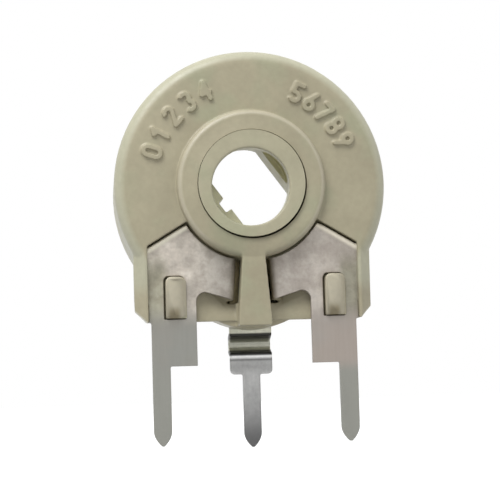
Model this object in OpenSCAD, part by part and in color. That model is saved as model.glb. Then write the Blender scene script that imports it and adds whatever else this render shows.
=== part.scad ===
// Round carbon trimmer potentiometer, upright on its three soldered pins.
// X runs along the row of pins, +Z is up from the board, and the pins' side of the body faces -Y.
// The origin is on the board's surface, midway between the outer pins. The rotor turns about Y.

/* [Body] */
// Diameter of the round body
body_d = 14.6; // [14:0.1:16.5]
// Height of the rotor's axis above the board
axis_h = 10; // [9:0.1:12]
// Thickness of the base's rear wall behind the terminal plates
floor_t = 0.6; // [0.4:0.05:0.9]
// Depth of the terminal plates below the base's rear face
plate_recess = 0.3; // [0.1:0.05:0.5]
// Thickness of the round side wall
side_t = 0.8; // [0.6:0.05:1]
// Rounding of the base's rear rim
rim_r = 0.7; // [0.3:0.05:0.8]
// Width of the square foot below the round body
foot_w = 12.7; // [12.2:0.1:13.4]
// Depth of the foot's flat bottom below the rotor's axis
foot_drop = 7.25; // [7:0.05:8]
// Size of the foot's cut corners
foot_corner = 0.6; // [0.2:0.05:0.8]
// Bevel along the foot's rear side edges
foot_bevel = 0.55; // [0.1:0.05:0.6]
// Height of the nose below the body, in front of the middle terminal
nose_h = 0.4; // [0.3:0.05:0.6]
// Radius of the nose
nose_r = 4.5; // [3.5:0.1:5.5]
// Depth of the front cover, from the base to its face
cover_depth = 2.7; // [2.6:0.1:4]
// Thickness of the cover's front wall
cover_t = 0.7; // [0.5:0.05:0.9]

/* [Rear boss] */
// Diameter of the raised ring round the rotor
boss_d = 7.94; // [7.4:0.02:8.4]
// Height of the raised ring above the base's face
boss_h = 0.5; // [0.2:0.05:0.8]
// Rounding of the raised ring's edge
boss_edge_r = 0.3; // [0.05:0.05:0.4]
// Width of the rib below the ring, at its top
rib_top_w = 1.24; // [0.8:0.02:1.4]
// Width of the rib below the ring, at its foot
rib_foot_w = 1.76; // [1.4:0.02:1.9]
// Length of the rib beyond the foot's flat bottom
rib_over = 0.3; // [0.1:0.05:0.6]

/* [Numerals] */
// Height of the raised numerals
numeral_h = 1.2; // [0.7:0.05:1.3]
// Width of a numeral's stroke
stroke_w = 0.25; // [0.12:0.01:0.3]
// Height that the numerals stand above the face
numeral_raise = 0.15; // [0.05:0.01:0.3]

/* [Rotor] */
// Diameter of the rotor's bearing neck
neck_d = 5.72; // [5.4:0.02:5.8]
// Radial running gap round the rotor's neck
neck_gap = 0.06; // [0.05:0.01:0.1]
// Height that the neck stands above the raised ring
neck_proud = 0.12; // [0.05:0.01:0.3]
// Diameter of the round rear stretch of the adjusting hole
hole_d = 4.3; // [3.8:0.05:4.4]
// Depth of the hole's round rear stretch
hole_round = 2.3; // [1:0.05:2.6]
// Depth of the hole's keyed stretch
hole_keyed = 1.9; // [1.2:0.05:2.2]
// Undercut of the keyed stretch, behind the round one
key_step = 0.2; // [0.16:0.01:0.25]
// Distance of the plain flat from the axis
flat_near = 1.82; // [1.4:0.02:1.9]
// Distance of the notched flat from the axis
flat_far = 1.42; // [1.3:0.02:1.8]
// Turn of the notched flat from the contact's angle
key_turn = -4; // [-10:1:10]
// Width of the notch in the far flat
notch_w = 0.7; // [0.4:0.05:1]
// Depth of the notch in the far flat
notch_depth = 0.35; // [0.15:0.05:0.45]
// Diameter of the wide front stretch of the hole
hole_front_d = 5.5; // [5:0.05:6]
// Bevel at the mouth of the hole
mouth_bevel = 0.15; // [0.1:0.05:0.4]
// Diameter of the rotor's dial in the cover
dial_d = 9.2; // [8.6:0.1:9.6]
// Radial gap round the dial
dial_gap = 0.1; // [0.05:0.01:0.2]
// Gap between the rotor's flange and the side wall
flange_gap = 0.65; // [0.5:0.05:0.8]
// Angle that the contact points to, from +X over the top, at the left stop
rest_angle = 220; // [216:1:224]
// Angle that the stop lug covers
lug_angle = 38; // [20:1:50]

/* [Resistive element] */
// Thickness of the resistive plate
plate_t = 0.8; // [0.6:0.05:1]
// Thickness of the carbon track and its end pads
track_t = 0.05; // [0.04:0.01:0.08]
// Distance of the carbon track from the plate's inner and outer edges
track_margin = 0.2; // [0.1:0.05:0.3]
// Angle that each silver end pad covers
pad_angle = 11; // [8:1:14]

/* [Terminals] */
// Thickness of the terminal sheet
sheet_t = 0.4; // [0.3:0.02:0.44]
// Distance between the outer pins
pin_pitch = 10; // [9.8:0.02:10.1]
// Distance from the outer pins to the middle pin, front to back
pin_depth = 2.5; // [2.4:0.02:2.8]
// Width of a pin
pin_w = 0.96; // [0.6:0.02:1.04]
// Width of the tip of a pin
tip_w = 0.3; // [0.2:0.02:0.4]
// Length of the tapered tip
tip_len = 1; // [0.6:0.05:1.2]
// Height of the outer terminals' shoulders above the board
shoulder_h = 0.4; // [0.1:0.05:0.8]
// Length of the pins below the board
pin_below = 3.8; // [3:0.1:5]
// Width of an outer terminal's leg
leg_w = 2.4; // [2:0.02:2.46]
// Width of the middle terminal's strip
strip_w = 2.32; // [1.8:0.02:2.44]
// Depth of the kink in the middle strip
kink_depth = 0.8; // [0.4:0.05:1]
// Height of the kink's flat floor
kink_floor = 0.62; // [0.4:0.02:0.8]
// Width of the pegs that hold the outer terminals
peg_w = 1; // [0.8:0.02:1.1]
// Height of the pegs
peg_h = 2.2; // [1.6:0.02:2.3]
// Height that the pegs stand above the plates
peg_proud = 0.5; // [0.2:0.05:0.8]

/* [Wiper] */
// Thickness of the wiper's sheet
wiper_t = 0.2; // [0.1:0.02:0.24]
// Width of the wiper's fingers
finger_w = 0.8; // [0.4:0.05:1]

/* [Fits] */
// Clearance between pieces that are fitted together
fit = 0.05; // [0.03:0.01:0.08]
// Running gap along the rotor's axis
end_gap = 0.1; // [0.05:0.01:0.15]
// Lift of the wiper's contacts, which the depth of their bend takes half of
contact_gap = 0.05; // [0.04:0.01:0.08]

/* [Hidden] */
$fn = 96;

// Layers along Y, from the rear face to the front
plate_back = sheet_t / 2;
face_y = -sheet_t / 2 - plate_recess;
boss_y = face_y - boss_h;
neck_y = boss_y - neck_proud;
wall_y = plate_back + floor_t;
track_y = wall_y + plate_t;
pad_top = track_y + track_t;
collector_y = pin_depth - sheet_t / 2;
collector_top = pin_depth + sheet_t / 2;
split_y = collector_top + 0.2;
shoulder_y = collector_top + end_gap;
front_y = split_y + cover_depth;
cover_in = front_y - cover_t;
flange_top = cover_in - end_gap;
flange_t = 1.1;
flange_y = flange_top - flange_t;
wiper_y = flange_y - wiper_t;
wiper_mid = wiper_y + wiper_t / 2;

// Radii
body_r = body_d / 2;
cavity_r = body_r - side_t;
neck_r = neck_d / 2;
bearing_r = neck_r + neck_gap;
boss_r = boss_d / 2;
hub_r = neck_r + 0.3;
collector_ri = hub_r + 0.05;
collector_ro = boss_r - 0.1;
element_ri = collector_ro + 0.1;
element_ro = cavity_r - 2 * fit;
track_ri = element_ri + track_margin;
track_ro = element_ro - track_margin;
dial_r = dial_d / 2;
flange_r = cavity_r - flange_gap;
lug_r = cavity_r - 0.15;
stop_r = flange_r + 0.1;
collector_contact_r = (collector_ro + hub_r) / 2 + 0.05;

// Outer terminal, drawn for the right-hand side about the rotor's axis
pin_x = pin_pitch / 2;
leg_out = pin_x + pin_w / 2;
plate_out = leg_out + 0.14;
leg_in = leg_out - leg_w;
clip_r = boss_r + 0.12;
clip_angle = -31;
clip_far = element_ro;
prong_r = clip_far - 0.65;
prong_len = 0.8;
bulge = 0.03;
inner_top = [0.88, 0.07 - boss_r];
inner_foot = [1.05, 1.08 - foot_drop];
notch_r = 0.5;
notch_top = [leg_in - notch_r, 1.55 - foot_drop];
shoulder_z = shoulder_h - axis_h;
end_angle = clip_angle + 2;

// Wiper's fingers and the studs that hold it
contact_r = prong_r - 0.35 - finger_w / 2;
finger_root = 0.3;
finger_toe = 0.35;
window_gap = 0.15;
stud_r = 0.3;
stud_place_r = collector_ro + 0.5;

// Middle terminal: its kink lies just under the body
kink_lead = 0.2;
kink_slope = 0.28;
kink_top = body_r + 0.45;
kink_end = kink_top + 2 * (kink_lead + kink_slope) + kink_floor;
middle_shoulder_z = -axis_h - 0.1;
middle_tip_z = -axis_h - pin_below - 0.25;
middle_corner = 0.25;

// Half width of the rib at a height beside it
function rib_edge(z) = (rib_top_w + (rib_foot_w - rib_top_w) * (z + boss_r) / (boss_r - foot_drop)) / 2;

// Foot, its pegs and the numerals. The pegs stand a little to one side in the plates' wider slots.
foot_top = 2;
peg_x = pin_x - 0.73;
peg_z = 1.28 - foot_drop;
peg_round = 0.3;
peg_lean = 0.07;
slot_gap = 0.1;
numeral_r = body_r - rim_r - numeral_h / 2 - 0.45;

// Stops: the lug and the block between them take up what the travel leaves of the turn
travel = 2 * (rest_angle - 90);
stop_slack = 1;
stop_angle = 360 - travel - lug_angle - stop_slack;

function polar(r, a) = [r * cos(a), r * sin(a)];

// Points along an arc
function bend(centre, r, a0, a1) = [for (i = [0:4]) centre + polar(r, a0 + i * (a1 - a0) / 4)];

// Places a drawing made about the rotor's axis between two planes of Y
module layer(y0, y1) {
    translate([0, y1, axis_h]) rotate([90, 0, 0]) linear_extrude(y1 - y0) children();
}

// Turns a drawing of radius and Y round the rotor's axis
module turned(y0) {
    translate([0, y0, axis_h]) rotate([-90, 0, 0]) rotate_extrude() children();
}

// Part of a disc between two angles less than half a turn apart
module wedge(r, a0, a1) {
    polygon([[0, 0], polar(r, a0), polar(r * 1.5, (a0 + a1) / 2), polar(r, a1)]);
}

module ring(ro, ri) {
    difference() {
        circle(ro);
        circle(ri);
    }
}

// Ring with everything outside two angles cut away, over the top
module horseshoe(ro, ri, a0, a1) {
    difference() {
        ring(ro, ri);
        wedge(ro * 2, a1, 270);
        wedge(ro * 2, 270, a0 + 360);
    }
}

module arc_band(ro, ri, a0, a1) {
    intersection() {
        ring(ro, ri);
        wedge(ro * 2, a0, a1);
    }
}

// Rectangle with two rounded corners at its top
module arched(w, h, r) {
    translate([-w / 2, -h / 2]) square([w, h - r]);
    translate([-w / 2 + r, h / 2 - r]) square([w - 2 * r, r]);
    for (side = [-1, 1])
        translate([side * (w / 2 - r), h / 2 - r]) circle(r);
}

// Corner of a strip of thickness t at point i of its path, on one side or the other
function mitre(path, i, t) =
    let (before = path[max(i, 1)] - path[max(i, 1) - 1],
         after = path[min(i, len(path) - 2) + 1] - path[min(i, len(path) - 2)],
         u = before / norm(before), v = after / norm(after),
         across = [-(u + v)[1], (u + v)[0]])
    path[i] + across * t / (1 + u * v) / 2;

// Strip of sheet that follows a bent path in Y and Z, centred on X
module bent_strip(path, t, w) {
    steps = [0:len(path) - 1];
    translate([-w / 2, 0, 0]) rotate([90, 0, 90]) linear_extrude(w)
        polygon([for (i = steps) mitre(path, i, t), for (i = steps) mitre(path, len(path) - 1 - i, -t)]);
}

/* Numerals, drawn in strokes about their own centre */

module stroke(a, b) {
    run = b - a;
    translate(a) rotate(atan2(run[1], run[0])) translate([0, -stroke_w / 2]) square([norm(run), stroke_w]);
    for (end = [a, b])
        translate(end) circle(stroke_w / 2, $fn = 24);
}

module bow(centre, r, a0, a1) {
    translate(centre) intersection() {
        ring(r + stroke_w / 2, r - stroke_w / 2, $fn = 48);
        rotate(a0) union() {
            for (part = [0:2])
                rotate(part * (a1 - a0) / 3) wedge(r * 3, 0, (a1 - a0) / 3 + 0.01);
        }
    }
}

module numeral(n) {
    top = (numeral_h - stroke_w) / 2;
    half = top * 0.5;
    if (n == 0) {
        bow([0, top - half], half, 0, 180);
        bow([0, half - top], half, 180, 360);
        stroke([-half, top - half], [-half, half - top]);
        stroke([half, top - half], [half, half - top]);
    }
    if (n == 1) {
        stroke([0, -top], [0, top]);
        stroke([0, top], [-half, top - half]);
    }
    if (n == 2) {
        bow([0, top - half], half, 0, 180);
        stroke([half, top - half], [-half, -top]);
        stroke([-half, -top], [half, -top]);
    }
    if (n == 3) {
        bow([0, half], half, -90, 150);
        bow([0, -half], half, -150, 90);
    }
    if (n == 4) {
        stroke([half / 2, -top], [half / 2, top]);
        stroke([half / 2, top], [-half, -half / 2]);
        stroke([-half, -half / 2], [half, -half / 2]);
    }
    if (n == 5) {
        stroke([half, top], [-half * 0.8, top]);
        stroke([-half * 0.8, top], [-half * 0.8, 0]);
        bow([0, -half], half, -150, 135);
    }
    if (n == 6) {
        bow([0, -half], half, 0, 360);
        stroke([-half, -half], [half * 0.4, top]);
    }
    if (n == 7) {
        stroke([-half, top], [half, top]);
        stroke([half, top], [-half * 0.4, -top]);
    }
    if (n == 8) {
        bow([0, half], half, 0, 360);
        bow([0, -half], half, 0, 360);
    }
    if (n == 9) {
        bow([0, half], half, 0, 360);
        stroke([half, half], [-half * 0.4, -top]);
    }
}

// Numerals from first to last, set clockwise along the arc
module numeral_row(first, last, from_angle, to_angle) {
    step = (to_angle - from_angle) / (last - first);
    for (n = [first:last]) {
        a = from_angle + (n - first) * step;
        rotate(a - 90) translate([0, numeral_r]) numeral(n);
    }
}

/* Outer terminal */

// The plate, its leg and its pin in one outline, from the bent upper edge clockwise
module terminal_outline() {
    difference() {
        polygon(concat([
            polar(clip_r - 1, clip_angle), polar(clip_far, clip_angle),
            [plate_out, polar(clip_far, clip_angle)[1] - 0.1], [plate_out, -foot_drop],
            [leg_out, -foot_drop - 0.05], [leg_out, -axis_h - pin_below + tip_len],
            [pin_x + tip_w / 2, -axis_h - pin_below], [pin_x - tip_w / 2, -axis_h - pin_below],
            [pin_x - pin_w / 2, -axis_h - pin_below + tip_len], [pin_x - pin_w / 2, shoulder_z],
            [leg_in, shoulder_z]
        ], bend(notch_top - [0, notch_r], notch_r, 0, 90), [inner_foot, inner_top, [inner_top[0], -2]]));
        circle(clip_r);
    }
}

// Slot in the plate that the peg passes through
module slot_outline() {
    translate([peg_x, peg_z]) arched(peg_w + 2 * slot_gap, peg_h + 2 * fit, peg_round);
}

// The bent edge that runs through the base to the resistive plate. It bulges a little past the plate's edge.
module tab_outline(from_r, gap) {
    across = [-sin(clip_angle), cos(clip_angle)];
    near = polar(from_r - gap, clip_angle);
    far = polar(clip_far - bulge + gap, clip_angle);
    polygon([near + (bulge + gap) * across, far + (bulge + gap) * across,
             far + (bulge - sheet_t - gap) * across, near + (bulge - sheet_t - gap) * across]);
}

// The folded end of the tab, which holds down the end of the resistive plate
module prong_outline() {
    across = [-sin(clip_angle), cos(clip_angle)];
    near = polar(prong_r, clip_angle);
    far = polar(clip_far - bulge, clip_angle);
    polygon([near, far, far + prong_len * across, near + prong_len * across]);
}

module outer_terminal() {
    layer(-sheet_t / 2, plate_back) difference() {
        terminal_outline();
        slot_outline();
    }
    layer(0, track_y) tab_outline(clip_r + fit, 0);
    layer(0, pad_top + sheet_t) tab_outline(prong_r, 0);
    layer(pad_top, pad_top + sheet_t) prong_outline();
}

module right_terminal() color("silver") outer_terminal();

module left_terminal() color("silver") mirror([1, 0, 0]) outer_terminal();

/* Middle terminal: the collector ring, its kinked strip and its pin are one stamping */

module collector_outline() {
    difference() {
        union() {
            circle(collector_ro);
            translate([-strip_w / 2, -kink_top]) square([strip_w, kink_top]);
        }
        circle(collector_ri);
    }
}

module middle_pin_outline() {
    corner = [strip_w / 2 - middle_corner, middle_shoulder_z + middle_corner];
    polygon(concat(
        [[-strip_w / 2, -kink_end]], bend([-corner[0], corner[1]], middle_corner, 180, 270),
        [[-pin_w / 2, middle_shoulder_z], [-pin_w / 2, middle_tip_z + tip_len], [-tip_w / 2, middle_tip_z],
         [tip_w / 2, middle_tip_z], [pin_w / 2, middle_tip_z + tip_len], [pin_w / 2, middle_shoulder_z]],
        bend(corner, middle_corner, 270, 360), [[strip_w / 2, -kink_end]]));
}

module middle_terminal() color("silver") {
    floor_y = pin_depth + kink_depth;
    layer(collector_y, collector_top) collector_outline();
    translate([0, 0, axis_h])
        bent_strip([[pin_depth, -kink_top], [pin_depth, -kink_top - kink_lead],
                    [floor_y, -kink_top - kink_lead - kink_slope],
                    [floor_y, -kink_end + kink_lead + kink_slope],
                    [pin_depth, -kink_end + kink_lead], [pin_depth, -kink_end]], sheet_t, strip_w);
    layer(collector_y, collector_top) middle_pin_outline();
}

/* Base */

module foot_outline() {
    polygon([[-foot_w / 2, -foot_top], [-foot_w / 2, -foot_drop + foot_corner],
             [-foot_w / 2 + foot_corner, -foot_drop], [foot_w / 2 - foot_corner, -foot_drop],
             [foot_w / 2, -foot_drop + foot_corner], [foot_w / 2, -foot_top]]);
}

// Material outside a quarter round of the rim, as radius and height
module rim_corner(r) {
    difference() {
        translate([-r, -1]) square([r + 1, r + 1]);
        translate([-r, r]) circle(r);
    }
}

module foot_bevels() {
    side = foot_bevel * sqrt(2);
    for (x = [-foot_w / 2, foot_w / 2])
        translate([x, face_y, axis_h - foot_drop - 1]) rotate([0, 0, 45])
            translate([-side / 2, -side / 2, 0]) cube([side, side, foot_drop + 1]);
}

// Pocket that an outer terminal lies in, open at the foot. The terminal's outer edge touches its side.
module pocket_outline() {
    rib_gap = [rib_top_w / 2, rib_foot_w / 2];
    difference() {
        polygon([
            polar(boss_r, clip_angle + 2), polar(clip_far + fit, clip_angle + 1.3),
            [plate_out, polar(clip_far, clip_angle)[1]], [plate_out, -foot_drop - 1],
            [rib_gap[1], -foot_drop - 1], [rib_gap[1], -foot_drop], [rib_gap[0], -boss_r], [rib_gap[0], -2]
        ]);
        circle(boss_r);
    }
}

// Slot through the wall between the rib and the terminal's inner edge
module rib_slot_outline() {
    depth = 0.15;
    difference() {
        polygon([[rib_top_w / 2, -boss_r + 0.5], [inner_top[0], -boss_r + 0.5], inner_top, inner_foot,
                 inner_foot + [0.4, -0.03], inner_foot + [0.3, -depth],
                 [rib_edge(inner_foot[1] - depth), inner_foot[1] - depth], [rib_top_w / 2, -boss_r]]);
        circle(boss_r + fit);
    }
}

module rib_outline() {
    polygon([[-rib_top_w / 2, -bearing_r - 0.3], [-rib_top_w / 2, -boss_r], [-rib_foot_w / 2, -foot_drop],
             [-rib_foot_w / 2, -foot_drop - rib_over], [rib_foot_w / 2, -foot_drop - rib_over],
             [rib_foot_w / 2, -foot_drop], [rib_top_w / 2, -boss_r], [rib_top_w / 2, -bearing_r - 0.3]]);
}

module nose_outline() {
    difference() {
        translate([0, nose_r - body_r - nose_h]) circle(nose_r);
        circle(body_r - side_t / 2);
    }
}

module rounded_disc() {
    difference() {
        layer(face_y, wall_y) circle(body_r);
        turned(face_y) translate([body_r, 0]) rim_corner(rim_r);
    }
}

module foot() {
    difference() {
        layer(face_y, wall_y) foot_outline();
        foot_bevels();
    }
}

module rear_wall() {
    difference() {
        union() {
            rounded_disc();
            foot();
        }
        for (side = [0, 1])
            mirror([side, 0, 0]) {
                layer(face_y - 1, plate_back) pocket_outline();
                layer(plate_back - 1, wall_y + 1) tab_outline(clip_r + fit, fit);
                layer(plate_back - 1, wall_y + 1) rib_slot_outline();
            }
    }
}

module base_housing() color("tan") {
    difference() {
        union() {
            rear_wall();
            layer(wall_y, split_y) ring(body_r, cavity_r);
            layer(wall_y, collector_y) ring(collector_ro, bearing_r);
            layer(plate_back + 0.1, collector_y - fit) nose_outline();
            difference() {
                layer(boss_y, face_y) circle(boss_r);
                turned(boss_y) translate([boss_r, 0]) rim_corner(boss_edge_r);
            }
            layer(boss_y, plate_back) rib_outline();
            layer(plate_back, wall_y) intersection() {
                rib_outline();
                translate([-rib_foot_w, -foot_drop - rib_over]) square([2 * rib_foot_w, 1 + rib_over]);
            }
        }
        layer(boss_y - 1, split_y + 1) circle(bearing_r);
        layer(collector_y, split_y + 1) translate([-strip_w / 2 - fit, -body_r - 1])
            square([strip_w + 2 * fit, body_r + 1 - collector_ro]);
    }
    layer(face_y - numeral_raise, face_y) {
        numeral_row(0, 4, 161, 115);
        numeral_row(5, 9, 62, 24);
    }
    layer(-sheet_t / 2 - peg_proud, plate_back)
        for (side = [-1, 1])
            translate([side * peg_x + peg_lean, peg_z]) arched(peg_w, peg_h, peg_round);
}

/* Front cover */

module front_cover() color("tan") {
    difference() {
        union() {
            difference() {
                layer(split_y, front_y) circle(body_r);
                layer(split_y - 1, cover_in) circle(cavity_r);
                turned(front_y) mirror([0, 1]) translate([body_r, 0]) rim_corner(rim_r / 2);
            }
            layer(split_y, cover_in) arc_band(cavity_r + side_t / 2, stop_r,
                                              270 - stop_angle / 2, 270 + stop_angle / 2);
            layer(split_y - 0.5, split_y) difference() {
                ring(cavity_r - fit, cavity_r - 0.35);
                wedge(body_r * 2, 250, 290);
            }
            layer(split_y, split_y + 0.5) difference() {
                ring(cavity_r + side_t / 2, cavity_r - 0.35);
                wedge(body_r * 2, 250, 290);
            }
        }
        layer(split_y - 1, front_y + 1) circle(dial_r + dial_gap);
    }
}

/* Rotor */

module hole_outline() {
    key_r = hole_d / 2 + key_step;
    rotate(rest_angle + key_turn - 180) {
        intersection() {
            circle(key_r);
            translate([-flat_far, -hole_d]) square([flat_far + flat_near, 2 * hole_d]);
        }
        intersection() {
            circle(key_r);
            translate([-flat_far - notch_depth, -notch_w / 2]) square([flat_far, notch_w]);
        }
    }
}

module rotor() color("tan") {
    keyed_y = neck_y + hole_round;
    wide_y = keyed_y + hole_keyed;
    difference() {
        union() {
            layer(neck_y, flange_y) circle(neck_r);
            layer(shoulder_y, flange_y) circle(hub_r);
            layer(flange_y, flange_top) {
                circle(flange_r);
                arc_band(lug_r, hub_r, rest_angle - lug_angle / 2, rest_angle + lug_angle / 2);
            }
            layer(flange_top, front_y) circle(dial_r);
            layer(wiper_y - wiper_t, flange_y) stud_places() circle(stud_r);
        }
        layer(neck_y - 1, keyed_y) circle(hole_d / 2);
        layer(keyed_y, wide_y) hole_outline();
        layer(wide_y, front_y + 1) circle(hole_front_d / 2);
        turned(neck_y) translate([hole_d / 2, 0])
            polygon([[-1, -1], [mouth_bevel + 1, -1], [-1, mouth_bevel + 1]]);
        layer(front_y - 0.4, front_y + 1) rotate(rest_angle) translate([hole_front_d / 2 - 0.5, -0.35])
            square([dial_r, 0.7]);
    }
}

/* Wiper */

// Finger that drops from the wiper's ring to the contact height, at a radius and along the contact's angle
module finger(r, surface_y) {
    contact_y = surface_y + contact_gap + wiper_t / 2;
    reach = wiper_mid - contact_y;
    translate([0, 0, axis_h]) rotate([0, -rest_angle, 0]) translate([r, 0, 0])
        bent_strip([[wiper_mid, reach + finger_root], [wiper_mid, reach], [contact_y, 0],
                    [contact_y + wiper_t, -finger_toe]], wiper_t, finger_w);
}

// Window in the wiper's ring that a finger was bent out of
module finger_window(r, surface_y) {
    w = finger_w + 2 * window_gap;
    layer(wiper_y - 1, flange_y + 1) rotate(rest_angle) translate([r - w / 2, -finger_toe - 2 * window_gap])
        square([w, finger_toe + 2 * window_gap + wiper_mid - surface_y - wiper_t]);
}

module stud_places() {
    for (a = [60, 180, 300])
        rotate(rest_angle + a) translate([stud_place_r, 0]) children();
}

module wiper_spring() color("goldenrod") {
    difference() {
        layer(wiper_y, flange_y) ring(flange_r - 0.2, hub_r + fit);
        layer(wiper_y - 1, flange_y + 1) stud_places() circle(stud_r + fit);
        finger_window(contact_r, pad_top);
        finger_window(collector_contact_r, collector_top);
    }
    finger(contact_r, pad_top);
    finger(collector_contact_r, collector_top);
}

/* Resistive element */

module resistive_plate() color("saddlebrown")
    layer(wall_y, track_y) horseshoe(element_ro, element_ri, end_angle, 180 - end_angle);

module carbon_track() color("black")
    layer(track_y, pad_top) horseshoe(track_ro, track_ri, end_angle + pad_angle, 180 - end_angle - pad_angle);

module right_end_pad() color("gainsboro")
    layer(track_y, pad_top) arc_band(track_ro, track_ri, end_angle, end_angle + pad_angle);

module left_end_pad() color("gainsboro") mirror([1, 0, 0])
    layer(track_y, pad_top) arc_band(track_ro, track_ri, end_angle, end_angle + pad_angle);

base_housing();
front_cover();
rotor();
wiper_spring();
resistive_plate();
carbon_track();
left_end_pad();
right_end_pad();
left_terminal();
right_terminal();
middle_terminal();
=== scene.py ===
"""Looks of the round trimmer potentiometer: moulded plastic, tinned sheet terminals, and the hidden works."""
import math

import bpy
from mathutils import Matrix, Vector


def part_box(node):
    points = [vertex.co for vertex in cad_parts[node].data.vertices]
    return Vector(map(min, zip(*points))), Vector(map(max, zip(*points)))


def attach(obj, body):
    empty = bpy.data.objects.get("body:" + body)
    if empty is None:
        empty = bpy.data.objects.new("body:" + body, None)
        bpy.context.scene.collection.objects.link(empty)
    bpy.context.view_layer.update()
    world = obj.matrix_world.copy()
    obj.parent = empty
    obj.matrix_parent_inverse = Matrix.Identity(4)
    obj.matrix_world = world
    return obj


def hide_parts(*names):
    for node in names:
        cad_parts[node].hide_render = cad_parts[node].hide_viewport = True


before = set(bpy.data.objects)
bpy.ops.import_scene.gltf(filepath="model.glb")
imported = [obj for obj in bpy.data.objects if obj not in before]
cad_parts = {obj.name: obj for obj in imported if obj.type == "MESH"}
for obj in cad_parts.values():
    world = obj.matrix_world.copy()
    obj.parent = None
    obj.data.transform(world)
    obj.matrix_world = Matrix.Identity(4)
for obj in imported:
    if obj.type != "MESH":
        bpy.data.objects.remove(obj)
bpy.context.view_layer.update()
MM = 0.001

# ---------------------------------------------------------------- places, all from the frame


def centre_of(node):
    low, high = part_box(node)
    return (low + high) / 2


AXIS = centre_of("front_cover")  # the rotor turns about Y through here
FLOOR_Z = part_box("middle_terminal")[0].z
PLATE_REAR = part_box("right_terminal")[0].y  # rear face of the outer terminals

# ---------------------------------------------------------------- sizes of what is reshaped

# All in millimetres. X and Z are from the rotor's axis, Y is from the middle of the outer terminals' sheet, and the
# pins' side of the body, its rear, faces -Y.

# Outer terminals: a plate with a slanted upper edge, an edge beside the base's rib, and a slot that takes a peg
PLATE_EDGE_ANGLE = -31
PLATE_INNER_R, PLATE_FOOT, PLATE_HALF_T = 4.1, 6.3, 0.25
RIB_EDGE_X, RIB_EDGE_Z, RIB_EDGE_SLOPE = 0.88, -3.9, 0.075
BEND_WIDTH, BEND_RADIUS, RIB_ROLL_SHARE = 0.4, 0.42, 0.7
BEAD_HEIGHT, BEAD_TURN, BEAD_SKEW = 0.13, 0.8 * math.pi, 1.3
TOP_RISE, TOP_RISE_BLEND = 0.05, 0.3
PLATE_OUTER_X, PLATE_SNUG = 5.5, 0.08
SLOT_EDGE, SLOT_REACH, SLOT_SNUG, SLOT_MARGIN = 0.62, 0.3, 0.08, 0.2

# Pins: their tips, and the middle strip's kink as pairs of a bend's height and its new height
PIN_HALF_W, TIP_HALF_W, TIP_LENGTH = 0.48, 0.15, 1
TIP_ROUNDED, TIP_START = 0.85, 0.06
OUTER_PIN_X, OUTER_TIP_DROP, MIDDLE_TIP_DROP = 5, 13.8, 14.05
KINK_BENDS = ((-7.3, -7.3), (-7.95, -7.86), (-8.23, -8.14), (-8.85, -8.82), (-9.13, -9.05), (-9.6, -9.6))

# Pegs of the base: they are worn back towards their lower right corner, and rolled at the top
PEG_X, PEG_LEAN, PEG_DROP = 4.27, 0.07, 5.97
PEG_HALF_W, PEG_HALF_H, PEG_MARGIN = 0.5, 1.1, 0.12
PEG_FLUSH_Y, PEG_CROWN = -0.26, 0.14
PEG_WEAR_X = (0.05, PEG_HALF_W + 0.02)
PEG_WEAR_Z = (0.45 - PEG_HALF_H, -PEG_HALF_H - 0.05)
PEG_WEAR_DEPTH, PEG_WEAR_RATE = 0.5, 1.6
PEG_ROLL_WIDTH, PEG_ROLL_RADIUS, PEG_SPREAD = 0.16, 0.2, 0.1

# Base: the bearing in its boss, the foot's taper and the pockets beside the rib
EDGE = 0.1
BEARING_R, BEARING_LAND, BEARING_SHIFT = 2.905, 0.6, Vector((0.03, 0, -0.03))
BOSS_FACE_Y, BEARING_RISE = -1, 0.08
FOOT_INNER_X, FOOT_TAPER_DROP, FOOT_DROP, FOOT_TAPER = 5.62, 6.0, 7.25, 0.15
POCKET_INNER_X, POCKET_OUTER_X, POCKET_FOOT, POCKET_HEAD = 0.95, 3.3, -7.05, -5.5
POCKET_Y, POCKET_DEPTH, POCKET_RAMP = 0.5, 0.27, 0.9

# Rotor: its neck, and the adjusting hole's mouth
NECK_R, NECK_FACE_Y = 2.86, -1.12
HOLE_R, MOUTH_OUTER_R, MOUTH_FACE_R, MOUTH_DEPTH = 2.15, 2.3, 2.7, 2
MOUTH_PULL, MOUTH_BEVEL_PULL, MOUTH_SHIFT = 0.08, 0.75, Vector((-0.06, 0, -0.19))

# ---------------------------------------------------------------- meshes

SMOOTH_FACTOR = 0.5  # how far one step of smoothing takes a vertex towards its neighbours
ROLL_END = 0.98  # share of its radius at which a rolled edge stops, short of where it would fall straight back


def applied(piece):
    """Replaces a piece's mesh with what its modifiers make, and clears them."""
    graph = bpy.context.evaluated_depsgraph_get()
    made = bpy.data.meshes.new_from_object(piece.evaluated_get(graph))
    piece.modifiers.clear()
    piece.data = made


def softened(node, name, rule=None, *, voxel_mm, smoothing, keep):
    """Remeshes a copy of a CAD node finely, so that its edges get the small radius of a real moulding or stamping.

    The copy is worked on in millimetres because a voxel has a least size. keep is the share of faces that stay. A rule
    takes a vertex's place in millimetres from the rotor's axis and gives its new place."""
    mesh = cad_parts[node].data.copy()
    mesh.transform(Matrix.Scale(1 / MM, 4))
    piece = bpy.data.objects.new(name, mesh)
    bpy.context.scene.collection.objects.link(piece)
    remesh = piece.modifiers.new("remesh", "REMESH")
    remesh.mode = "VOXEL"
    remesh.voxel_size = voxel_mm
    smooth = piece.modifiers.new("smooth", "SMOOTH")
    smooth.factor = SMOOTH_FACTOR
    smooth.iterations = smoothing
    thin = piece.modifiers.new("thin", "DECIMATE")
    thin.ratio = keep
    applied(piece)
    if rule:
        centre = Vector((AXIS.x, 0, AXIS.z)) / MM
        for vertex in piece.data.vertices:
            vertex.co = rule(vertex.co - centre) + centre
    piece.data.transform(Matrix.Scale(MM, 4))
    piece.data.materials.clear()
    for face in piece.data.polygons:
        face.use_smooth = True
    return piece


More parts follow.
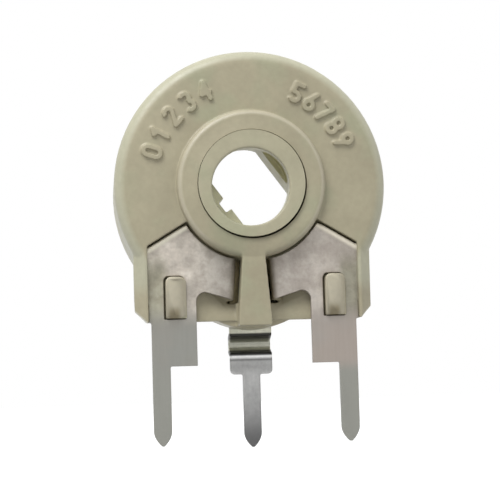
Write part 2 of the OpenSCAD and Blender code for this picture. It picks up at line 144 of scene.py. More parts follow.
def span(value, start, end):
    """0 to 1 as a value goes from the start to the end, which may be the lower one."""
    return min(max((value - start) / (end - start), 0), 1)


def rolled(past, radius):
    """How far a rolled edge falls back at a distance past the start of its bend."""
    reach = min(max(past, 0), radius * ROLL_END)
    return radius - math.sqrt(radius ** 2 - reach ** 2)


def rounded_tip(place, pin_x, tip_drop):
    """Makes the straight taper of a pin's tip a shorter, rounded one; tip_drop is its depth below the rotor's axis."""
    up = max(place.z + tip_drop, 0)
    straight = min(TIP_HALF_W + (PIN_HALF_W - TIP_HALF_W) * up / TIP_LENGTH, PIN_HALF_W)
    rounded = PIN_HALF_W * (1 - (1 - min(TIP_START + up / TIP_ROUNDED, 1)) ** 2)
    return Vector((pin_x + (place.x - pin_x) * rounded / straight, place.y, place.z))


def terminal_rule(side):
    """Rule for an outer terminal; side is 1 on the right and -1 on the left.

    It raises a bead along the plate's slanted upper edge, rolls back the edge beside the rib, closes the slot in on
    its peg and rounds the pin's tip."""
    lean = math.radians(PLATE_EDGE_ANGLE)

    def rule(place):
        if abs(place.z + PEG_DROP) < PEG_HALF_H + SLOT_MARGIN:
            place.x += SLOT_SNUG * span(abs(place.x - side * PEG_X + SLOT_EDGE), SLOT_REACH, 0)
        x, z = place.x * side, place.z
        from_axis = math.hypot(x, z)
        if place.y > PLATE_HALF_T or z < -PLATE_FOOT or from_axis < PLATE_INNER_R:
            return rounded_tip(place, OUTER_PIN_X * side, OUTER_TIP_DROP)
        past_top = BEND_WIDTH + z * math.cos(lean) - x * math.sin(lean)
        bead = BEAD_HEIGHT * math.sin(BEAD_TURN * span(past_top, 0, BEND_WIDTH) ** BEAD_SKEW)
        edge = RIB_EDGE_X + (RIB_EDGE_Z - z) * RIB_EDGE_SLOPE
        past_rib = BEND_WIDTH - (x - edge)
        back = rolled(past_rib, BEND_RADIUS) * RIB_ROLL_SHARE - bead
        out = PLATE_SNUG if x > PLATE_OUTER_X else 0
        up = TOP_RISE * span(past_top, 0, BEND_WIDTH)
        up *= span(from_axis, PLATE_INNER_R, PLATE_INNER_R + TOP_RISE_BLEND)
        return place + Vector(((out - up * math.sin(lean)) * side, back, up * math.cos(lean)))

    return rule


def hung_bearing(place, from_axis):
    """Sets the bearing a little low and right, as the rotor hangs in it, with its edge leaning a little on the boss."""
    share = span(from_axis, BEARING_R + BEARING_LAND, BEARING_R)
    moved = place + BEARING_SHIFT * share
    if place.y < BOSS_FACE_Y + EDGE:
        if from_axis < BEARING_R + 2 * EDGE:
            moved.y = BOSS_FACE_Y
        lean = BEARING_SHIFT.normalized().dot(place) / from_axis
        moved.y += BEARING_RISE * lean * share
    return moved


def worn_peg(place, x, z):
    """Wears and rolls the face of a peg; x and z are from the peg's middle."""
    worn = math.hypot(span(x, *PEG_WEAR_X), span(z, *PEG_WEAR_Z))
    back = PEG_WEAR_DEPTH * (1 - math.exp(-PEG_WEAR_RATE * worn ** 2))
    back += rolled(z - PEG_HALF_H + PEG_ROLL_WIDTH, PEG_ROLL_RADIUS)
    out = PEG_SPREAD * max(x, 0) / PEG_HALF_W
    return Vector((place.x + out, min(place.y + back, PEG_FLUSH_Y), place.z))


def base_rule(place):
    """Hangs the bearing, tapers the two ends of the foot, deepens the pockets beside the rib and wears the pegs."""
    from_axis = math.hypot(place.x, place.z)
    if from_axis < BEARING_R + BEARING_LAND:
        return hung_bearing(place, from_axis)
    if abs(place.x) > FOOT_INNER_X and place.z < -FOOT_TAPER_DROP:
        down = (-place.z - FOOT_TAPER_DROP) / (FOOT_DROP - FOOT_TAPER_DROP)
        inner = math.copysign(FOOT_INNER_X, place.x)
        return Vector((inner + (place.x - inner) * (1 - FOOT_TAPER * down ** 2), place.y, place.z))
    beside_rib = POCKET_INNER_X < abs(place.x) < POCKET_OUTER_X
    if beside_rib and POCKET_FOOT < place.z < POCKET_HEAD and place.y < POCKET_Y:
        return place + Vector((0, POCKET_DEPTH * min((place.z - POCKET_FOOT) / POCKET_RAMP, 1), 0))
    if place.y <= PEG_FLUSH_Y + PEG_CROWN:
        for side in (-1, 1):
            x = place.x - (side * PEG_X + PEG_LEAN)
            z = place.z + PEG_DROP
            if abs(x) < PEG_HALF_W + PEG_MARGIN and abs(z) < PEG_HALF_H + PEG_MARGIN:
                return worn_peg(place, x, z)
    return place


def rotor_rule(place):
    """Keeps the neck's edge crisp, and draws the hole's bevelled mouth in to a sharper one that sits a little low."""
    from_axis = math.hypot(place.x, place.z)
    if HOLE_R - EDGE < from_axis < MOUTH_FACE_R and place.y < NECK_FACE_Y + MOUTH_DEPTH:
        share = span(place.y, NECK_FACE_Y + MOUTH_DEPTH, NECK_FACE_Y + 2 * EDGE)
        share *= span(from_axis, MOUTH_FACE_R, MOUTH_OUTER_R)
        bevel = min(max(from_axis - HOLE_R, 0), MOUTH_OUTER_R - HOLE_R)
        out = Vector((place.x, 0, place.z)) / from_axis
        return place + (MOUTH_SHIFT - out * (MOUTH_PULL + MOUTH_BEVEL_PULL * bevel)) * share
    if NECK_R - 2 * EDGE < from_axis < NECK_R + EDGE and place.y < NECK_FACE_Y + EDGE:
        return Vector((place.x, NECK_FACE_Y, place.z))
    return place


def strip_rule(place):
    """Moves the bends of the middle strip's kink, and rounds the tip of its pin."""
    for (high, new_high), (low, new_low) in zip(KINK_BENDS, KINK_BENDS[1:]):
        if low <= place.z <= high:
            return Vector((place.x, place.y, new_high + (new_low - new_high) * span(place.z, high, low)))
    return rounded_tip(place, 0, MIDDLE_TIP_DROP)


def dress(piece, node, body, material):
    """Puts a piece in its node's place, on its body, in its finish."""
    piece.data.materials.append(material)
    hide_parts(node)
    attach(piece, body)


# ---------------------------------------------------------------- colours


def srgb(r, g, b):
    """A screen colour of 0 to 255 as the linear colour that a shader takes."""
    return tuple((c / 255 / 12.92) if c <= 10 else ((c / 255 + 0.055) / 1.055) ** 2.4 for c in (r, g, b))


def grey(value):
    return (value, value, value)


WHITE, BLACK = grey(1), grey(0)

# Plastic: the pale, deep and greenish beige of each moulding, then its painted highlights and painted shade
HOUSING_BEIGES = (srgb(166, 159, 134), srgb(156, 149, 125), srgb(157, 155, 129))
ROTOR_BEIGES = (srgb(170, 165, 140), srgb(160, 155, 130), srgb(162, 161, 134))
RIM, CORNER, PEG_AND_EDGE_HIGHLIGHT = srgb(175, 173, 150), srgb(200, 197, 177), srgb(184, 177, 156)
PEG_FOOT_SHADE, RING_SHADE, RING_EDGE_SHARE = (0.5, 0.46, 0.36), (0.84, 0.84, 0.83), grey(0.6)
# Painted light on the wall inside the adjusting hole: paler on its lower side than on its upper
HOLE_LOW, HOLE_HIGH = srgb(222, 220, 192), srgb(178, 173, 134)

# Tin: the pale, middle and deep shades of each sheet, its plainer grey lower down, the painted highlight on its bead
# and the painted shade towards the rotor
LEFT_TINS = (srgb(212, 205, 194), srgb(192, 184, 173), srgb(172, 165, 155))
LEFT_LOW, LEFT_BEAD_HIGHLIGHT, LEFT_INNER_SHADE = srgb(138, 138, 132), srgb(204, 199, 182), grey(0.6)
RIGHT_TINS = (srgb(190, 183, 174), srgb(177, 169, 160), srgb(165, 157, 148))
RIGHT_LOW, RIGHT_BEAD_HIGHLIGHT, RIGHT_INNER_SHADE = srgb(154, 147, 140), srgb(210, 203, 187), grey(0.88)
MIDDLE_TINS, MIDDLE_LOW = (srgb(188, 188, 187), srgb(179, 179, 178), srgb(169, 169, 168)), srgb(99, 99, 99)
OUTER_PIN, OUTER_SHADE = srgb(139, 139, 132), (0.6, 0.62, 0.54)
GAP_SHADE_TINT, WARM = (0.9, 0.86, 0.74), (1.02, 0.99, 0.975)
GAP_SHADE_BROWN, YELLOWED = (2.2, 1.85, 1.0), (1, 1, 0.85)
STRIP_TINT_STOPS = ((0, GAP_SHADE_BROWN), (0.25, YELLOWED), (0.95, YELLOWED), (1, WHITE))

# Greys across the middle strip's kink, by depth below the axis: painted highlights on its bends and painted shade on
# its slopes
KINK_GREYS = ((7.5, 0.6), (7.64, 1.6), (7.82, 1.6), (7.9, 0.04), (8.12, 0.06), (8.28, 1.0), (8.4, 0.78), (8.72, 1.5),
              (8.82, 0.1), (9.04, 0.08), (9.12, 1.9), (9.18, 1.6), (9.3, 0.34), (9.42, 0.85), (9.65, 0.76), (10, 0.92))

# The works inside, each with its dark and its light shade
BRONZES = (srgb(150, 110, 62), srgb(196, 154, 92))
RESINS = (srgb(96, 58, 30), srgb(134, 88, 50))
CARBONS = (srgb(38, 38, 40), srgb(58, 58, 60))
SILVERS = (srgb(176, 176, 172), srgb(206, 206, 202))

# ---------------------------------------------------------------- zones of colour

# Each zone grows from 0 to 1 between two distances in millimetres from the rotor's axis, along a direction or out from
# the axis (OUT). Y distances are from the middle of the outer terminals' sheet.
ASIDE, REARWARDS, FORWARDS, UP, DOWN, CORNERWARDS = (1, 0, 0), (0, -1, 0), (0, 1, 0), (0, 0, 1), (0, 0, -1), (1, 0, -1)
RIM_OUT, RIM_UP, CORNER_OUT = (6.7, 7), (-6, -5), (9.08, 9.2)
PEG_LEFT, PEG_RIGHT, PEG_BELOW, PEG_FACE = (3.4, 3.6), (5.4, 5.2), (4.6, 4.8), (0.25, 0.35)
PEG_SHADE_LEFT, PEG_SHADE_RIGHT, PEG_SHADE_BELOW = (3.8, 4.15), (4.75, 4.4), (6.3, 6.85)
RING_OUT, RING_FACE, RING_BELOW = (3.98, 3.88), (0.6, 0.7), (1.6, 3.2)
RING_EDGE_OUT, RING_EDGE_END, RING_EDGE_UP = (3.68, 3.78), (4.02, 3.92), (-3.5, -2.5)
HOLE_IN, HOLE_OUT, HOLE_UP = (-0.7, 0.3), (2.65, 2.5), (-0.3, 0.5)
PLATE_INNER, PLATE_OUTER, PLATE_OUTER_BELOW = (1.5, 4), (4.3, 5), (3.2, 4.8)
BEAD_UP = (-0.3, -0.12)
GAP_IN, GAP_ASIDE = (-0.14, -0.02), (2.2, 1.8)
PLATE_LOW, OUTER_PIN_BELOW, MIDDLE_LOW_BELOW, STRIP_TINT_BELOW = (6.2, 7.6), (9.4, 10.2), (10.8, 13.8), (6.6, 9)

# Noise values from which a first shade gives way to a second: most of the noise, or nearly all of it
MOST, NEARLY_ALL = (0.35, 0.65), (0.3, 0.7)

# ---------------------------------------------------------------- materials


class Shader:
    """A material's node tree, with short names for the nodes that are used here."""

    def __init__(self, name):
        self.material = bpy.data.materials.new(name)
        self.material.use_nodes = True
        self.nodes = self.material.node_tree.nodes
        self.links = self.material.node_tree.links
        self.surface = self.nodes["Principled BSDF"]
        self.place = self.nodes.new("ShaderNodeTexCoord").outputs["Object"]

    def link(self, value, socket):
        self.links.new(value, socket)

    def noise(self, size_mm, detail=3, roughness=0.5, offset=(0, 0, 0), stretch=(1, 1, 1)):
        """Noise whose blotches are about size_mm across."""
        mapping = self.nodes.new("ShaderNodeMapping")
        mapping.inputs["Location"].default_value = offset
        mapping.inputs["Scale"].default_value = stretch
        self.link(self.place, mapping.inputs["Vector"])
        noise = self.nodes.new("ShaderNodeTexNoise")
        noise.inputs["Scale"].default_value = 1 / (size_mm * MM)
        noise.inputs["Detail"].default_value = detail
        noise.inputs["Roughness"].default_value = roughness
        self.link(mapping.outputs["Vector"], noise.inputs["Vector"])
        return noise.outputs["Fac"]

    def ramp(self, value, stops):
        """Colours or greys by value: stops are (position, colour) pairs."""
        ramp = self.nodes.new("ShaderNodeValToRGB")
        points = ramp.color_ramp.elements
        while len(points) < len(stops):
            points.new(0.5)
        for point, (position, colour) in zip(points, stops):
            point.position = position
            point.color = (*colour, 1)
        self.link(value, ramp.inputs["Fac"])
        return ramp.outputs["Color"]

    def shades(self, noise, first, second, between=MOST):
        """A first colour that gives way to a second one between two values of a noise."""
        return self.ramp(noise, list(zip(between, (first, second))))

    def share(self, distance, from_mm, to_mm, smooth):
        """0 to 1 between two values of a distance."""
        share = self.nodes.new("ShaderNodeMapRange")
        share.interpolation_type = "SMOOTHSTEP" if smooth else "LINEAR"
        share.inputs["From Min"].default_value = from_mm * MM
        share.inputs["From Max"].default_value = to_mm * MM
        self.link(distance, share.inputs["Value"])
        return share.outputs["Result"]

    def fade(self, towards, from_mm, to_mm, smooth=True):
        """0 to 1 between two distances from the rotor's axis along a direction. X counts to either side alike."""
        from_axis = self.nodes.new("ShaderNodeVectorMath")
        from_axis.operation = "SUBTRACT"
        from_axis.inputs[1].default_value = (AXIS.x, 0, AXIS.z)
        self.link(self.place, from_axis.inputs[0])
        split = self.nodes.new("ShaderNodeSeparateXYZ")
        self.link(from_axis.outputs["Vector"], split.inputs["Vector"])
        either = self.nodes.new("ShaderNodeMath")
        either.operation = "ABSOLUTE"
        self.link(split.outputs["X"], either.inputs[0])
        joined = self.nodes.new("ShaderNodeCombineXYZ")
        for axis, value in (("X", either.outputs[0]), ("Y", split.outputs["Y"]), ("Z", split.outputs["Z"])):
            self.link(value, joined.inputs[axis])
        along = self.nodes.new("ShaderNodeVectorMath")
        along.operation = "DOT_PRODUCT"
        along.inputs[1].default_value = Vector(towards).normalized()
        self.link(joined.outputs["Vector"], along.inputs[0])
        return self.share(along.outputs["Value"], from_mm, to_mm, smooth)

    def beyond(self, from_mm, to_mm):
        """0 to 1 between two distances out from the rotor's axis."""
        flat = self.nodes.new("ShaderNodeVectorMath")
        flat.operation = "MULTIPLY_ADD"
        flat.inputs[1].default_value = (1, 0, 1)
        flat.inputs[2].default_value = (-AXIS.x, 0, -AXIS.z)
        self.link(self.place, flat.inputs[0])
        length = self.nodes.new("ShaderNodeVectorMath")
        length.operation = "LENGTH"
        self.link(flat.outputs["Vector"], length.inputs[0])
        return self.share(length.outputs["Value"], from_mm, to_mm, smooth=False)

    def colour(self, value):
        """One plain colour."""
        plain = self.nodes.new("ShaderNodeRGB")
        plain.outputs[0].default_value = (*value, 1)
        return plain.outputs[0]

    def mix(self, factor, a, b, blend="MIX"):
        """Goes from a to b as the factor, a number or a node's value, goes from 0 to 1."""
        mix = self.nodes.new("ShaderNodeMix")
        mix.data_type = "RGBA"
        mix.blend_type = blend
        if isinstance(factor, (int, float)):
            mix.inputs["Factor"].default_value = factor
        else:
            self.link(factor, mix.inputs["Factor"])
        self.link(a, mix.inputs["A"])
        self.link(b, mix.inputs["B"])
        return mix.outputs["Result"]

    def times(self, first, *others):
        """The product of two or more values."""
        for other in others:
            first = self.mix(1.0, first, other, "MULTIPLY")
        return first

    def tinted(self, body, zone, tint):
        """A colour that is multiplied by a tint where a zone is."""
        return self.times(body, self.ramp(zone, [(0, WHITE), (1, tint)]))

    def bump(self, height, strength, depth_mm):
        """Adds relief of a small depth to what the surface has already."""
        bump = self.nodes.new("ShaderNodeBump")
        bump.inputs["Strength"].default_value = strength
        bump.inputs["Distance"].default_value = depth_mm * MM
        self.link(height, bump.inputs["Height"])
        if self.surface.inputs["Normal"].links:
            self.link(self.surface.inputs["Normal"].links[0].from_socket, bump.inputs["Normal"])
        self.link(bump.outputs["Normal"], self.surface.inputs["Normal"])

    def finish(self, body, rough_noise, roughness, **values):
        """Links the colour and the roughness, which goes from a low to a high value, and gives the material."""
        self.link(body, self.surface.inputs["Base Color"])
        self.link(self.shades(rough_noise, *map(grey, roughness), NEARLY_ALL), self.surface.inputs["Roughness"])
        for name, value in values.items():
            self.surface.inputs[name.replace("_", " ")].default_value = value
        return self.material


def moulded_plastic(name, beiges, zones):
    """Satin beige moulding: cloudy drift of colour with a green cast here and there, and fine moulded grain.

    zones takes the shader and the plain colour, and gives the colour with its painted highlights and painted shade."""
    m = Shader(name)
    pale, deep, green = beiges
    cloud = m.shades(m.noise(size_mm=3.5), deep, pale)
    cast = m.shades(m.noise(size_mm=2.2, detail=2, offset=(0.02, 0.05, 0.01)), BLACK, WHITE, between=(0.52, 0.7))
    body = zones(m, m.mix(cast, cloud, m.colour(green)))
    fleck = m.shades(m.noise(size_mm=0.3, detail=4, offset=(0.3, 0.1, 0.2)), grey(0.94), WHITE)
    drift = m.shades(m.noise(size_mm=1.6, offset=(0.5, 0.7, 0.1)), grey(0.96), WHITE)
    m.bump(m.noise(size_mm=0.12, detail=4), strength=0.2, depth_mm=0.01)
    m.bump(m.noise(size_mm=1.1, detail=2), strength=0.2, depth_mm=0.02)
    return m.finish(m.times(body, fleck, drift), m.noise(size_mm=0.5), roughness=(0.36, 0.48),
                    Specular_IOR_Level=0.5)


def housing_zones(m, body):
    """Painted highlights on the rim, which is also a little greener, on the foot corners, the pegs and the ring's edge,
    and painted shade on the pegs' lower ends and the ring's lower side.
    """
    # Painted highlight on the rounded rim above the foot, whose colour is also a little greener
    body = m.mix(m.times(m.beyond(*RIM_OUT), m.fade(UP, *RIM_UP)), body, m.colour(RIM))
    # Painted highlight on the foot's rounded lower corners
    body = m.mix(m.fade(CORNERWARDS, *CORNER_OUT), body, m.colour(CORNER))
    pegs = m.times(m.fade(ASIDE, *PEG_LEFT), m.fade(ASIDE, *PEG_RIGHT), m.fade(DOWN, *PEG_BELOW))
    # Painted highlight on the pegs' faces
    body = m.mix(m.times(pegs, m.fade(REARWARDS, *PEG_FACE)), body, m.colour(PEG_AND_EDGE_HIGHLIGHT))
    # Painted shade on the pegs' lower ends, which face down
    peg_shade = m.times(m.fade(ASIDE, *PEG_SHADE_LEFT), m.fade(ASIDE, *PEG_SHADE_RIGHT), m.fade(DOWN, *PEG_SHADE_BELOW))
    body = m.tinted(body, m.times(pegs, peg_shade), PEG_FOOT_SHADE)
    # Painted shade on the ring's face towards its lower side
    ring = m.times(m.beyond(*RING_OUT), m.fade(REARWARDS, *RING_FACE), m.fade(DOWN, *RING_BELOW))
    body = m.tinted(body, ring, RING_SHADE)
    # Painted highlight along the ring's rounded edge, except at its bottom
    edge = m.times(m.beyond(*RING_EDGE_OUT), m.beyond(*RING_EDGE_END))
    edge = m.times(edge, m.times(m.fade(REARWARDS, *RING_FACE), m.fade(UP, *RING_EDGE_UP)))
    return m.mix(m.times(edge, m.colour(RING_EDGE_SHARE)), body, m.colour(PEG_AND_EDGE_HIGHLIGHT))


def rotor_zones(m, body):
    """Painted light inside the adjusting hole: its wall is paler than the plastic, more on the lower side than on the
    upper.
    """
    inside = m.times(m.fade(FORWARDS, *HOLE_IN), m.beyond(*HOLE_OUT))
    wall = m.mix(m.fade(UP, *HOLE_UP), m.colour(HOLE_LOW), m.colour(HOLE_HIGH))
    return m.mix(inside, body, wall)


def tin_ground(m, tins, blotch_mm):
    """Dull tin plating: broad blotches and small dark flecks."""
    pale, mid, deep = tins
    blotch = m.ramp(m.noise(blotch_mm, detail=4, roughness=0.6), [(0.38, deep), (0.5, mid), (0.6, pale)])
    fleck = m.noise(size_mm=0.3, detail=5, roughness=0.7, offset=(0.7, 0.2, 0.1))
    return m.times(blotch, m.shades(fleck, grey(0.86), WHITE, between=(0.35, 0.6)))


def tin_finish(m, tin, metallic, roughness):
    """Faint rolling lines along the pins, and the unevenness of dipped plating."""
    lines = m.shades(m.noise(size_mm=0.14, detail=2, stretch=(1, 1, 0.06)), grey(0.965), WHITE)
    m.bump(m.noise(size_mm=0.25, detail=4), strength=0.15, depth_mm=0.01)
    m.bump(m.noise(size_mm=0.9, stretch=(1, 1, 0.3)), strength=0.15, depth_mm=0.02)
    rough_noise = m.noise(size_mm=0.8, detail=4, offset=(0.1, 0.5, 0.9))
    return m.finish(m.times(tin, lines), rough_noise, roughness, Metallic=metallic)


def plate_tin(name, tins, low, bead, inner):
    """An outer terminal's tin, which turns to a plainer, darker grey on the pin.

    The plate has painted shade towards the rotor and is darker towards the foot's side. It has painted shade in the gap
    beside the rib, and a painted highlight on the bead along its slanted edge."""
    m = Shader(name)
    tin = tin_ground(m, tins, blotch_mm=1.4)
    # Painted shade towards the rotor, deeper on the left plate than on the right
    tin = m.times(tin, m.ramp(m.fade(ASIDE, *PLATE_INNER), [(0, inner), (1, WHITE)]))
    tin = m.tinted(tin, m.times(m.fade(ASIDE, *PLATE_OUTER), m.fade(DOWN, *PLATE_OUTER_BELOW)), OUTER_SHADE)
    lean = math.radians(PLATE_EDGE_ANGLE)
    # Painted highlight along the bead on the slanted upper edge
    tin = m.mix(m.fade((-math.sin(lean), 0, math.cos(lean)), *BEAD_UP), tin, m.colour(bead))
    # Painted shade: the rolled edge in the gap beside the rib is darker and browner
    tin = m.tinted(tin, m.times(m.fade(FORWARDS, *GAP_IN), m.fade(ASIDE, *GAP_ASIDE)), GAP_SHADE_TINT)
    plain = m.times(m.colour(low), m.shades(m.noise(size_mm=2.6, detail=2), WHITE, WARM, between=(0.42, 0.58)))
    plain = m.mix(m.fade(DOWN, *OUTER_PIN_BELOW), plain, m.colour(OUTER_PIN))
    return tin_finish(m, m.mix(m.fade(DOWN, *PLATE_LOW), tin, plain), metallic=0.4, roughness=(0.43, 0.57))


def strip_tin():
    """The middle strip's tin, with painted highlights and shade across its kink, a painted brown tint on the shade seen
    behind the gap, and a yellower stretch lower down.
    """
    m = Shader("pin_tin")
    tin = m.mix(m.fade(DOWN, *MIDDLE_LOW_BELOW), tin_ground(m, MIDDLE_TINS, blotch_mm=2.6), m.colour(MIDDLE_LOW))
    first, last = KINK_GREYS[0][0], KINK_GREYS[-1][0]
    stops = [((depth - first) / (last - first), grey(value)) for depth, value in KINK_GREYS]
    # Painted highlights on the kink's bends and painted shade on its slopes
    tin = m.times(tin, m.ramp(m.fade(DOWN, first, last, smooth=False), stops))
    # Painted brown tint on the strip's shade seen through the gap beside the rib, then a yellower stretch below
    tin = m.times(tin, m.ramp(m.fade(DOWN, *STRIP_TINT_BELOW, smooth=False), STRIP_TINT_STOPS))
    return tin_finish(m, tin, metallic=0.6, roughness=(0.31, 0.45))


def spring_bronze():
    """Rolled bronze strip: warm sheen with fine lines and a few dull stains."""
    m = Shader("spring_bronze")
    stain = m.shades(m.noise(size_mm=1.4, detail=4), *BRONZES, between=(0.4, 0.6))
    lines = m.shades(m.noise(size_mm=0.08, stretch=(1, 1, 0.08)), grey(0.85), WHITE, NEARLY_ALL)
    m.bump(m.noise(size_mm=0.1, stretch=(1, 1, 0.1)), strength=0.2, depth_mm=0.008)
    return m.finish(m.times(stain, lines), m.noise(size_mm=0.5), roughness=(0.25, 0.4), Metallic=1.0)


def phenolic_paper():
    """Brown pressed board: mottled resin over long paper fibres."""
    m = Shader("phenolic_paper")
    resin = m.shades(m.noise(size_mm=1.0, detail=4), *RESINS)
    grain = m.noise(size_mm=0.12, detail=5, stretch=(0.15, 1, 1))
    m.bump(grain, strength=0.3, depth_mm=0.01)
    fibre = m.shades(grain, grey(0.8), WHITE)
    return m.finish(m.times(resin, fibre), m.noise(size_mm=0.4), roughness=(0.4, 0.6))


def printed_film(name, shades, metallic, roughness):
    """Screen-printed film: the print's grain, with soft streaks where it was drawn across."""
    m = Shader(name)
    grain = m.shades(m.noise(size_mm=0.08, detail=5), *shades)
    streak = m.shades(m.noise(size_mm=0.5, stretch=(0.2, 1, 1)), grey(0.85), WHITE)
    m.bump(m.noise(size_mm=0.08, detail=4), strength=0.3, depth_mm=0.006)
    return m.finish(m.times(grain, streak), m.noise(size_mm=0.2), roughness, Metallic=metallic)


# ---------------------------------------------------------------- pieces

housing_plastic = moulded_plastic("housing_plastic", HOUSING_BEIGES, housing_zones)
rotor_plastic = moulded_plastic("rotor_plastic", ROTOR_BEIGES, rotor_zones)
left_tin = plate_tin("left_plate_tin", LEFT_TINS, LEFT_LOW, LEFT_BEAD_HIGHLIGHT, LEFT_INNER_SHADE)
right_tin = plate_tin("right_plate_tin", RIGHT_TINS, RIGHT_LOW, RIGHT_BEAD_HIGHLIGHT, RIGHT_INNER_SHADE)

base = softened("base_housing", "base_moulding", base_rule, voxel_mm=0.05, smoothing=4, keep=0.45)
dress(base, "base_housing", "housing", housing_plastic)
cover = softened("front_cover", "cover_moulding", voxel_mm=0.08, smoothing=4, keep=0.6)
dress(cover, "front_cover", "housing", housing_plastic)
rotor = softened("rotor", "rotor_moulding", rotor_rule, voxel_mm=0.05, smoothing=3, keep=0.5)
dress(rotor, "rotor", "rotor", rotor_plastic)
for side, name, tin in ((-1, "left_terminal", left_tin), (1, "right_terminal", right_tin)):
    terminal = softened(name, name + "_sheet", terminal_rule(side), voxel_mm=0.04, smoothing=3, keep=0.8)
    dress(terminal, name, "housing", tin)
strip = softened("middle_terminal", "middle_terminal_sheet", strip_rule, voxel_mm=0.045, smoothing=3, keep=0.8)
dress(strip, "middle_terminal", "housing", strip_tin())

# The works inside keep their CAD shapes and get their own finishes
silver_paste = printed_film("silver_paste", SILVERS, metallic=0.8, roughness=(0.32, 0.48))
INNER_FINISHES = {
    "wiper_spring": spring_bronze(),
    "resistive_plate": phenolic_paper(),
    "carbon_track": printed_film("carbon_film", CARBONS, metallic=0.0, roughness=(0.37, 0.53)),
    "left_end_pad": silver_paste,
    "right_end_pad": silver_paste,
}
for node, material in INNER_FINISHES.items():
    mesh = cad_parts[node].data
    mesh.materials.clear()
    mesh.materials.append(material)

# ---------------------------------------------------------------- stage, light and camera

FLOOR_SIZE_MM = 600
FLOOR_PAPER, FLOOR_SHADED, FLOOR_GLOW = grey(0.4), grey(0.45), 0.75
SKY_LOW, SKY_HIGH, SKY_TOWARDS = 0.03, 1.23, (0.6, 0.5, 0.85)
LAMP_FROM_MM, LAMP_SIZE_MM, LAMP_POWER = (-60, -80, 120), 90, 0.23

# Camera: it stands a little left of and below the rotor's axis, and the part leans slightly to the left in the view
CAMERA_YAW, CAMERA_PITCH, CAMERA_ROLL = 5.5, 4.9, -1.7
CAMERA_DISTANCE = 86 * MM
CAMERA_LENS = 115.9
AIM = Vector((-0.13 * MM, PLATE_REAR, AXIS.z - 3.51 * MM))
CLIP_NEAR, CLIP_FAR = 5 * MM, 10


def flat_sheet(name, size_mm, height):
    """A square sheet at a height in metres."""
    half = size_mm * MM / 2
    mesh = bpy.data.meshes.new(name)
    corners = [(-half, -half, height), (half, -half, height), (half, half, height), (-half, half, height)]
    mesh.from_pydata(corners, [], [(0, 1, 2, 3)])
    sheet = bpy.data.objects.new(name, mesh)
    bpy.context.scene.collection.objects.link(sheet)
    return sheet


def shows_background(nodes, links):
    """1 for the rays that show the background: the camera's own, and those that gloss and glass send on."""
    path = nodes.new("ShaderNodeLightPath")
    shows = path.outputs["Is Camera Ray"]
    for ray in ("Is Glossy Ray", "Is Transmission Ray"):
        either = nodes.new("ShaderNodeMath")
        either.operation = "MAXIMUM"
        links.new(shows, either.inputs[0])
        links.new(path.outputs[ray], either.inputs[1])
        shows = either.outputs[0]
    return shows


def by_ray(nodes, links, output, lights, shows):
    """Links one shader to the output's surface for the rays that light the part, and one for those that show it."""
    choose = nodes.new("ShaderNodeMixShader")
    links.new(shows_background(nodes, links), choose.inputs["Fac"])
    links.new(lights.outputs[0], choose.inputs[1])
    links.new(shows.outputs[0], choose.inputs[2])
    links.new(choose.outputs[0], output.inputs["Surface"])


def floor_material():
    """White floor: it reads as white to the camera, with a faint shadow, and lights the part as white paper does."""
    material = bpy.data.materials.new("floor_white")
    material.use_nodes = True
    nodes, links = material.node_tree.nodes, material.node_tree.links
    nodes.clear()
    output = nodes.new("ShaderNodeOutputMaterial")
    paper = nodes.new("ShaderNodeBsdfDiffuse")
    paper.inputs["Color"].default_value = (*FLOOR_PAPER, 1)
    shaded = nodes.new("ShaderNodeBsdfDiffuse")
    shaded.inputs["Color"].default_value = (*FLOOR_SHADED, 1)
    glow = nodes.new("ShaderNodeEmission")
    glow.inputs["Strength"].default_value = FLOOR_GLOW
    seen = nodes.new("ShaderNodeAddShader")
    links.new(shaded.outputs[0], seen.inputs[0])
    links.new(glow.outputs[0], seen.inputs[1])
    by_ray(nodes, links, output, paper, seen)
    return material


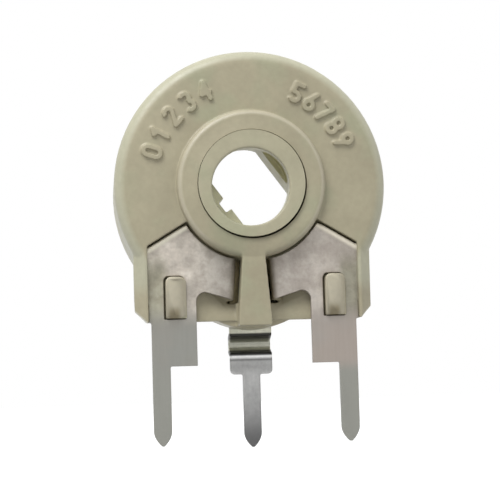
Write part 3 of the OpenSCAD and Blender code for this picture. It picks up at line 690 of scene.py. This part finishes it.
def white_world(low, high, towards):
    """Soft light all round, stronger from one side, and plain white behind the part for the camera and for gloss."""
    world = bpy.data.worlds.new("studio")
    bpy.context.scene.world = world
    world.use_nodes = True
    nodes, links = world.node_tree.nodes, world.node_tree.links
    nodes.clear()
    output = nodes.new("ShaderNodeOutputWorld")
    direction = nodes.new("ShaderNodeTexCoord")
    facing = nodes.new("ShaderNodeVectorMath")
    facing.operation = "DOT_PRODUCT"
    facing.inputs[1].default_value = Vector(towards).normalized()
    links.new(direction.outputs["Generated"], facing.inputs[0])
    strength = nodes.new("ShaderNodeMapRange")
    strength.inputs["From Min"].default_value = -1
    strength.inputs["To Min"].default_value = low
    strength.inputs["To Max"].default_value = high
    links.new(facing.outputs["Value"], strength.inputs["Value"])
    light = nodes.new("ShaderNodeBackground")
    links.new(strength.outputs["Result"], light.inputs["Strength"])
    white = nodes.new("ShaderNodeBackground")
    white.inputs["Strength"].default_value = 1.0
    for background in (light, white):
        background.inputs["Color"].default_value = (*WHITE, 1)
    by_ray(nodes, links, output, light, white)


def soft_lamp(name, from_mm, size_mm, power):
    """A square area lamp at a place given from the rotor's axis, aimed at it."""
    lamp = bpy.data.lights.new(name, "AREA")
    lamp.size = size_mm * MM
    lamp.energy = power
    holder = bpy.data.objects.new(name, lamp)
    place = Vector(from_mm) * MM
    holder.location = AXIS + place
    holder.rotation_mode = "QUATERNION"
    holder.rotation_quaternion = (-place).to_track_quat("-Z", "Y")
    bpy.context.scene.collection.objects.link(holder)


def photo_camera():
    """The camera at the photograph's viewing angle."""
    yaw, pitch, roll = (math.radians(a) for a in (CAMERA_YAW, CAMERA_PITCH, CAMERA_ROLL))
    ahead = Vector((math.sin(yaw) * math.cos(pitch), math.cos(yaw) * math.cos(pitch), math.sin(pitch)))
    right = Vector((math.cos(yaw), -math.sin(yaw), 0))
    up = right.cross(ahead)
    right, up = (right * math.cos(roll) + up * math.sin(roll), up * math.cos(roll) - right * math.sin(roll))
    data = bpy.data.cameras.new("camera")
    data.lens = CAMERA_LENS
    data.clip_start = CLIP_NEAR
    data.clip_end = CLIP_FAR
    camera = bpy.data.objects.new("camera", data)
    bpy.context.scene.collection.objects.link(camera)
    turn = Matrix((right, up, -ahead)).transposed().to_4x4()
    camera.matrix_world = Matrix.Translation(AIM - ahead * CAMERA_DISTANCE) @ turn
    bpy.context.scene.camera = camera


floor = flat_sheet("floor", FLOOR_SIZE_MM, FLOOR_Z)
floor.data.materials.append(floor_material())
white_world(SKY_LOW, SKY_HIGH, SKY_TOWARDS)
soft_lamp("key", LAMP_FROM_MM, LAMP_SIZE_MM, LAMP_POWER)
photo_camera()
bpy.context.scene.view_settings.view_transform = "Standard"
